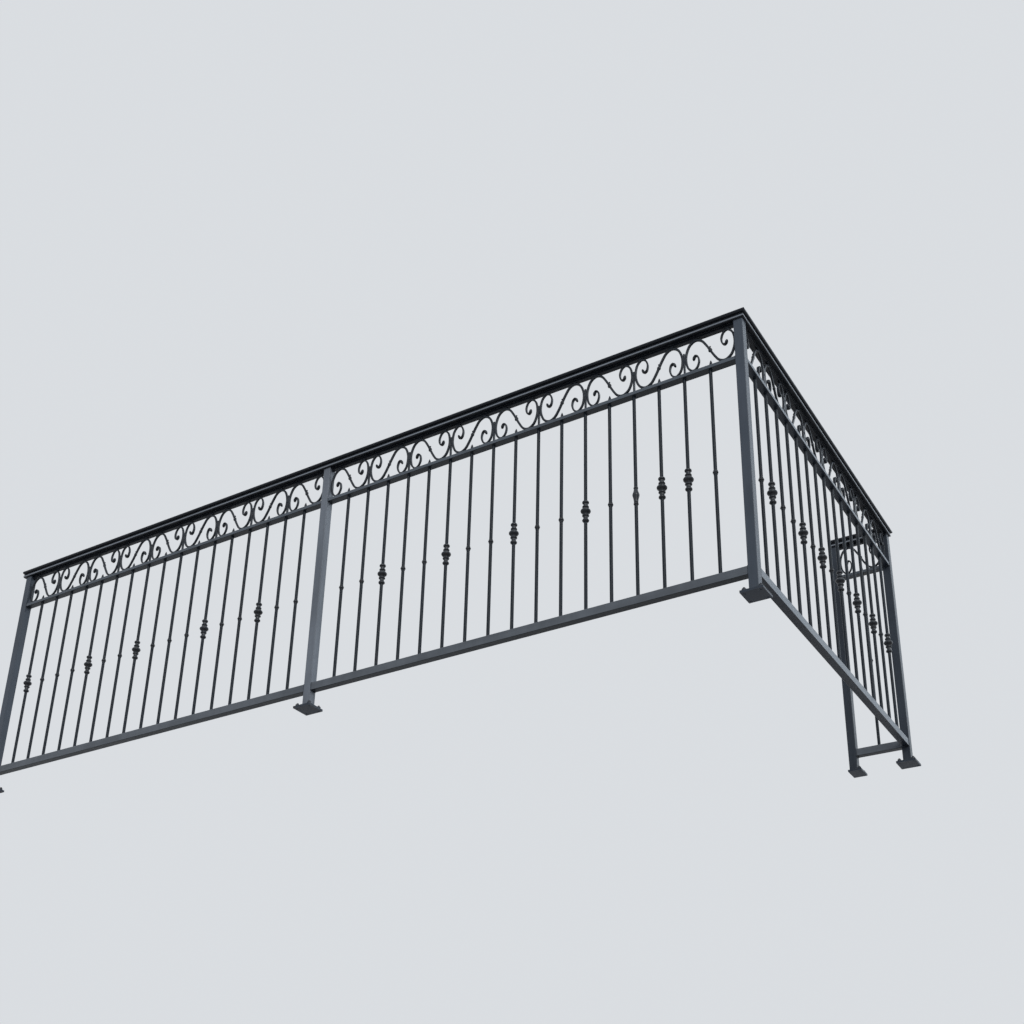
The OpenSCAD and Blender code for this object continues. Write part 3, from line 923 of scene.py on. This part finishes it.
for runName, run in runs.items():
    weldRailEnds("foot_rail_" + runName, run["turn"] == 90)
    weldRailEnds("second_rail_" + runName, run["turn"] == 90)
    weldBars(run)
    weldScrolls(run)
for post in postNames:
    weldPost(post)
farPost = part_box("post_far")
weldMitre((0, 0), -1)
weldMitre((0, (farPost[0].y + farPost[1].y) / 2), 1)


def weldBoard():
    board, inlet = geometryBoard("weldBeads", {"Step": 0.002, "Ripple": 0.2, "Seed": 1})
    line = board.node("GeometryNodeMeshToCurve", {}, {0: inlet["Guide"]})
    line = board.node("GeometryNodeResampleCurve", {"mode": "LENGTH"}, {
        "Curve": line, "Length": inlet["Step"],
    })
    section = board.node("GeometryNodeCurvePrimitiveCircle", {}, {"Resolution": 6, "Radius": 1.0})
    girth = board.node("GeometryNodeInputNamedAttribute", {"data_type": "FLOAT"}, {"Name": "girth"})
    ripple = board.node("FunctionNodeRandomValue", {"data_type": "FLOAT"}, {
        2: 1 - inlet["Ripple"], 3: 1 + inlet["Ripple"], "Seed": inlet["Seed"],
    }, out=1)
    bead = board.node("GeometryNodeCurveToMesh", {}, {
        "Curve": line, "Profile Curve": section, "Scale": girth * ripple, "Fill Caps": True,
    })
    closeBoard(board, bead, paints["weldPaint"])
    return board


welds = guideMesh("weld_beads", weldLine["points"], weldLine["links"], {"girth": weldLine["girths"]})
grow(welds, weldBoard(), {"Step": weld["step"] * mm, "Ripple": weld["ripple"], "Seed": weld["seed"]})
finishPiece(welds, "rail_paint")
print("welds run:", len(welds.data.polygons), "faces")


# Studio: a pale floor, a pale backdrop and soft light; the camera looks up past the floor
studio = {
    "floorHalf": 120,
    "floor": shade(0.902, 0.868, 0.826),
    "floorBounce": shade(0.24, 0.24, 0.235),
    "touch": 0.004,
    "backdrop": shade(0.70, 0.725, 0.755),
    "sky": shade(0.80, 0.88, 1.0),
    "skyPower": 0.64,
    "suns": [
        {
            "name": "frontSun", "from": (3.5, -4.0, 3.0), "power": 1.3, "angle": 35,
            "colour": (1.0, 0.98, 0.95),
        },
        {
            "name": "backSun", "from": (3.0, 4.0, 3.0), "power": 0.5, "angle": 45,
            "colour": (0.76, 0.89, 1.0),
        },
    ],
}


def sightShare(board):  # 1 where the camera, a reflection or glass looks, 0 where light falls
    rays = board.node("ShaderNodeLightPath").socket.node
    seen, mirrored, passed = (
        Wire(board, rays.outputs[label])
        for label in ("Is Camera Ray", "Is Glossy Ray", "Is Transmission Ray"))
    return (seen + mirrored + passed).limited()


def layFloor(setup):
    half = setup["floorHalf"]
    corners = [(-half, -half, 0), (half, -half, 0), (half, half, 0), (-half, half, 0)]
    mesh = bpy.data.meshes.new("studioFloor")
    mesh.from_pydata(corners, [], [(0, 1, 2, 3)])
    floor = linkMesh("studioFloor", mesh)
    paint = bpy.data.materials.new("studioFloor")
    paint.use_nodes = True
    board = Board(paint.node_tree)
    length = board.node("ShaderNodeLightPath", out="Ray Length")
    fromBelow = board.node("ShaderNodeNewGeometry", out="Backfacing")
    touching = 1 - length.rise(0, setup["touch"])  # light still reaches what stands on the floor
    tone = board.blend(sightShare(board), setup["floorBounce"], setup["floor"])
    matt = board.node("ShaderNodeBsdfDiffuse", {}, {"Color": tone})
    clear = board.node("ShaderNodeBsdfTransparent")
    shown = board.node("ShaderNodeMixShader", {}, {
        0: (fromBelow + touching).limited(), 1: matt, 2: clear,
    })
    board.node("ShaderNodeOutputMaterial", {}, {"Surface": shown})
    mesh.materials.append(paint)
    floor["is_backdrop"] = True


def hangSky(setup):
    world = bpy.data.worlds.new("studioSky")
    bpy.context.scene.world = world
    world.use_nodes = True
    board = Board(world.node_tree)
    light = board.node("ShaderNodeBackground", {}, {"Color": setup["sky"], "Strength": setup["skyPower"]})
    backdrop = board.node("ShaderNodeBackground", {}, {"Color": setup["backdrop"], "Strength": 1.0})
    mixed = board.node("ShaderNodeMixShader", {}, {0: sightShare(board), 1: light, 2: backdrop})
    board.node("ShaderNodeOutputWorld", {}, {"Surface": mixed})


def hangSun(setup):
    lamp = bpy.data.lights.new(setup["name"], "SUN")
    lamp.energy = setup["power"]
    lamp.color = setup["colour"]
    lamp.angle = math.radians(setup["angle"])
    sun = bpy.data.objects.new(setup["name"], lamp)
    sun.location = setup["from"]
    sun.rotation_euler = (-Vector(setup["from"])).to_track_quat("-Z", "Y").to_euler()
    bpy.context.collection.objects.link(sun)


layFloor(studio)
hangSky(studio)
for sunSetup in studio["suns"]:
    hangSun(sunSetup)
bpy.context.scene.view_settings.view_transform = "Standard"
print("studio lit")

low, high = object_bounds()
